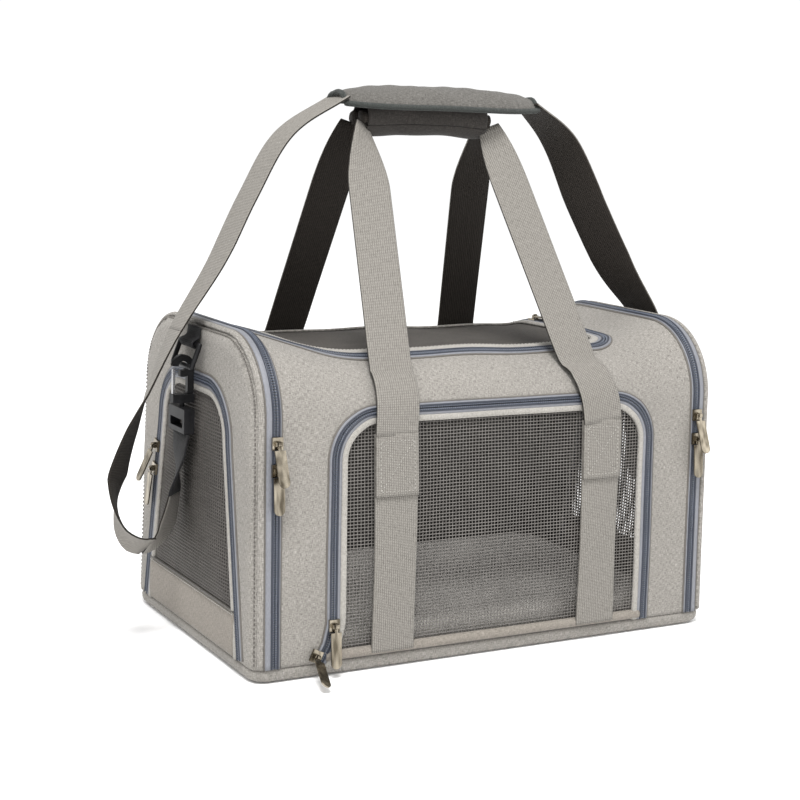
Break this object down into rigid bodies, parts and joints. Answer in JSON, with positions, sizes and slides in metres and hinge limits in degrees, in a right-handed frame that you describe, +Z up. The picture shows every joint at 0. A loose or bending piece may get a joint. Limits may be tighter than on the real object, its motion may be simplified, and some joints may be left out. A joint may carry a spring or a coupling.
{
  "type": "soft-sided pet carrier bag",
  "caption": "Soft-sided fabric carrier bag for a small pet, with zipped mesh doors on the front, top and ends, carrying handles and a shoulder strap.",
  "frame": {"origin": "middle of the underside of the base", "axes": "+X along the bag towards its right end, -Y towards the front door, +Z up"},
  "size_m": [0.576, 0.2947, 0.4584],
  "materials": {
    "fabric_grey": "heather linen weave",
    "webbing": "ribbed polyester webbing",
    "mesh": "open square mesh",
    "zip_tape": "woven zipper tape with coil",
    "pad_fabric": "dark heather weave",
    "mat_fabric": "soft fleece",
    "board": "stiff insert board",
    "hoop_wire": "spring wire",
    "black_webbing": "black webbing",
    "black_plastic": "moulded acetal",
    "pull_metal": "pale nickel plating"
  },
  "bodies": {
    "carrier": {"base_cover": "fabric_grey", "base_board": "board", "floor_mat": "mat_fabric", "shell_panel": "fabric_grey", "back_panel": "fabric_grey", "wire_hoops": "hoop_wire", "end_tracks": "zip_tape", "front_track": "zip_tape", "top_track": "zip_tape", "back_webbing": "webbing", "strap_left": "webbing", "strap_right": "webbing"},
    "front_door": {"front_mesh": "mesh", "front_binding": "fabric_grey", "front_webbing": "webbing"},
    "front_handle": {"front_handle": "webbing"},
    "back_handle": {"back_handle": "webbing", "grip_wrap": "pad_fabric", "shoulder_pad": "pad_fabric"},
    "top_door": {"top_mesh": "mesh", "top_binding": "fabric_grey"},
    "left_end": {"left_panel": "fabric_grey", "left_door_track": "zip_tape", "left_tab": "black_webbing"},
    "left_door": {"left_mesh": "mesh", "left_binding": "fabric_grey"},
    "left_ring": {"left_ring": "black_plastic"},
    "left_hook": {"left_hook": "black_plastic"},
    "left_gate": {"left_gate": "black_plastic"},
    "left_swivel": {"left_swivel": "black_plastic"},
    "right_end": {"right_panel": "fabric_grey", "right_door_track": "zip_tape", "right_tab": "black_webbing"},
    "right_door": {"right_mesh": "mesh", "right_binding": "fabric_grey"},
    "right_ring": {"right_ring": "black_plastic"},
    "right_hook": {"right_hook": "black_plastic"},
    "right_gate": {"right_gate": "black_plastic"},
    "right_swivel": {"right_swivel": "black_plastic"},
    "left_slider_a": {"left_slider_a": "pull_metal"},
    "left_pull_a": {"left_pull_a": "pull_metal"},
    "left_slider_b": {"left_slider_b": "pull_metal"},
    "left_pull_b": {"left_pull_b": "pull_metal"},
    "right_slider_a": {"right_slider_a": "pull_metal"},
    "right_pull_a": {"right_pull_a": "pull_metal"},
    "right_slider_b": {"right_slider_b": "pull_metal"},
    "right_pull_b": {"right_pull_b": "pull_metal"},
    "front_slider_a": {"front_slider_a": "pull_metal"},
    "front_pull_a": {"front_pull_a": "pull_metal"},
    "front_slider_b": {"front_slider_b": "pull_metal"},
    "front_pull_b": {"front_pull_b": "pull_metal"},
    "top_slider": {"top_slider": "pull_metal"},
    "top_pull": {"top_pull": "pull_metal"},
    "left_door_slider_a": {"left_door_slider_a": "pull_metal"},
    "left_door_pull_a": {"left_door_pull_a": "pull_metal"},
    "left_door_slider_b": {"left_door_slider_b": "pull_metal"},
    "left_door_pull_b": {"left_door_pull_b": "pull_metal"},
    "right_door_slider": {"right_door_slider": "pull_metal"},
    "right_door_pull": {"right_door_pull": "pull_metal"}
  },
  "joints": [
    {"name": "front_door_hinge", "type": "hinge", "parent": "carrier", "child": "front_door", "pos_m": [0, -0.1289, 0.0122], "axis": [1, 0, 0], "range_deg": [0, 90]},
    {"name": "front_handle_fold", "type": "hinge", "parent": "front_door", "child": "front_handle", "pos_m": [0, -0.12481, 0.1927], "axis": [-1, 0, 0], "range_deg": [-150, 0]},
    {"name": "back_handle_fold", "type": "hinge", "parent": "carrier", "child": "back_handle", "pos_m": [0, 0.12481, 0.1927], "axis": [1, 0, 0], "range_deg": [-150, 0]},
    {"name": "top_door_hinge", "type": "hinge", "parent": "carrier", "child": "top_door", "pos_m": [0, 0.0898, 0.2443], "axis": [-1, 0, 0], "range_deg": [0, 52]},
    {"name": "left_end_hinge", "type": "hinge", "parent": "carrier", "child": "left_end", "pos_m": [-0.2217, 0, 0.0121], "axis": [0, -1, 0], "range_deg": [0, 90], "deforming": ["strap_left", "left_hook", "left_gate", "left_swivel"]},
    {"name": "left_door_hinge", "type": "hinge", "parent": "left_end", "child": "left_door", "pos_m": [-0.2217, 0, 0.0139], "axis": [0, 1, 0], "range_deg": [-90, 0], "deforming": ["strap_left", "left_hook", "left_gate", "left_swivel"]},
    {"name": "left_ring_swing", "type": "hinge", "parent": "left_end", "child": "left_ring", "pos_m": [-0.225, 0, 0.252], "axis": [0, 1, 0], "range_deg": [0, 90]},
    {"name": "left_hook_swing", "type": "hinge", "parent": "left_ring", "child": "left_hook", "pos_m": [-0.2315, 0, 0.23415], "axis": [0, 1, 0], "range_deg": [0, 60]},
    {"name": "left_hook_swivel", "type": "hinge", "parent": "left_hook", "child": "left_swivel", "pos_m": [-0.2315, 0, 0.195], "axis": [0, 0, 1], "continuous": true},
    {"name": "left_hook_gate", "type": "hinge", "parent": "left_hook", "child": "left_gate", "pos_m": [-0.239, 0, 0.2105], "axis": [0, 1, 0], "range_deg": [0, 22], "stiffness_Nm_per_rad": 0.02},
    {"name": "right_end_hinge", "type": "hinge", "parent": "carrier", "child": "right_end", "pos_m": [0.2217, 0, 0.0121], "axis": [0, 1, 0], "range_deg": [0, 90], "deforming": ["strap_right", "right_hook", "right_gate", "right_swivel"]},
    {"name": "right_door_hinge", "type": "hinge", "parent": "right_end", "child": "right_door", "pos_m": [0.2217, 0, 0.0139], "axis": [0, -1, 0], "range_deg": [-90, 0], "deforming": ["strap_right", "right_hook", "right_gate", "right_swivel"]},
    {"name": "right_ring_swing", "type": "hinge", "parent": "right_end", "child": "right_ring", "pos_m": [0.225, 0, 0.252], "axis": [0, -1, 0], "range_deg": [0, 90]},
    {"name": "right_hook_swing", "type": "hinge", "parent": "right_ring", "child": "right_hook", "pos_m": [0.2315, 0, 0.23415], "axis": [0, -1, 0], "range_deg": [0, 60]},
    {"name": "right_hook_swivel", "type": "hinge", "parent": "right_hook", "child": "right_swivel", "pos_m": [0.2315, 0, 0.195], "axis": [0, 0, 1], "continuous": true},
    {"name": "right_hook_gate", "type": "hinge", "parent": "right_hook", "child": "right_gate", "pos_m": [0.239, 0, 0.2105], "axis": [0, -1, 0], "range_deg": [0, 22], "stiffness_Nm_per_rad": 0.02},
    {"name": "left_slider_a_run", "type": "slide", "parent": "carrier", "child": "left_slider_a", "axis": [0, 0.0421, 0.9991], "range_m": [-0.009, 0.005]},
    {"name": "left_pull_a_swing", "type": "hinge", "parent": "left_slider_a", "child": "left_pull_a", "pos_m": [-0.2024, -0.12578, 0.19026], "axis": [-1, 0, 0], "range_deg": [-8, 140]},
    {"name": "left_slider_b_run", "type": "slide", "parent": "carrier", "child": "left_slider_b", "axis": [0, 0.0421, 0.9991], "range_m": [-0.13, 0.009]},
    {"name": "left_pull_b_swing", "type": "hinge", "parent": "left_slider_b", "child": "left_pull_b", "pos_m": [-0.2024, -0.12667, 0.16926], "axis": [-1, 0, 0], "range_deg": [0, 36]},
    {"name": "right_slider_a_run", "type": "slide", "parent": "carrier", "child": "right_slider_a", "axis": [0, 0.0421, 0.9991], "range_m": [-0.009, 0.005]},
    {"name": "right_pull_a_swing", "type": "hinge", "parent": "right_slider_a", "child": "right_pull_a", "pos_m": [0.2024, -0.12578, 0.19026], "axis": [-1, 0, 0], "range_deg": [-8, 140]},
    {"name": "right_slider_b_run", "type": "slide", "parent": "carrier", "child": "right_slider_b", "axis": [0, 0.0421, 0.9991], "range_m": [-0.13, 0.009]},
    {"name": "right_pull_b_swing", "type": "hinge", "parent": "right_slider_b", "child": "right_pull_b", "pos_m": [0.2024, -0.12667, 0.16926], "axis": [-1, 0, 0], "range_deg": [0, 36]},
    {"name": "front_slider_a_run", "type": "slide", "parent": "front_door", "child": "front_slider_a", "axis": [0, 0.0421, 0.9991], "range_m": [0, 0.12]},
    {"name": "front_pull_a_swing", "type": "hinge", "parent": "front_slider_a", "child": "front_pull_a", "pos_m": [-0.152, -0.13202, 0.04226], "axis": [-1, 0, 0], "range_deg": [0, 150]},
    {"name": "front_slider_b_run", "type": "slide", "parent": "carrier", "child": "front_slider_b", "axis": [0.4384, 0.0378, 0.898], "range_m": [0, 0.008]},
    {"name": "front_pull_b_swing", "type": "hinge", "parent": "front_slider_b", "child": "front_pull_b", "pos_m": [-0.1675, -0.13298, 0.01926], "axis": [-0.8988, 0.0184, 0.438], "range_deg": [0, 85]},
    {"name": "top_slider_run", "type": "slide", "parent": "top_door", "child": "top_slider", "axis": [0, 1, 0], "range_m": [-0.09, 0]},
    {"name": "top_pull_swing", "type": "hinge", "parent": "top_slider", "child": "top_pull", "pos_m": [0.148, 0.058, 0.2562], "axis": [-1, 0, 0], "range_deg": [0, 150]},
    {"name": "left_door_slider_a_run", "type": "slide", "parent": "left_door", "child": "left_door_slider_a", "axis": [0, -0.177, 0.9842], "range_m": [-0.009, 0.022]},
    {"name": "left_door_pull_a_swing", "type": "hinge", "parent": "left_door_slider_a", "child": "left_door_pull_a", "pos_m": [-0.2262, 0.07718, 0.152], "axis": [0, 0.9842, 0.177], "range_deg": [-8, 140]},
    {"name": "left_door_slider_b_run", "type": "slide", "parent": "left_door", "child": "left_door_slider_b", "axis": [0, -0.177, 0.9842], "range_m": [-0.075, 0.009]},
    {"name": "left_door_pull_b_swing", "type": "hinge", "parent": "left_door_slider_b", "child": "left_door_pull_b", "pos_m": [-0.2262, 0.08096, 0.131], "axis": [0, 0.9842, 0.177], "range_deg": [0, 36]},
    {"name": "right_door_slider_run", "type": "slide", "parent": "right_door", "child": "right_door_slider", "axis": [0, -0.177, 0.9842], "range_m": [-0.096, 0.022]},
    {"name": "right_door_pull_swing", "type": "hinge", "parent": "right_door_slider", "child": "right_door_pull", "pos_m": [0.2262, 0.07718, 0.152], "axis": [0, -0.9842, -0.177], "range_deg": [0, 150]}
  ]
}
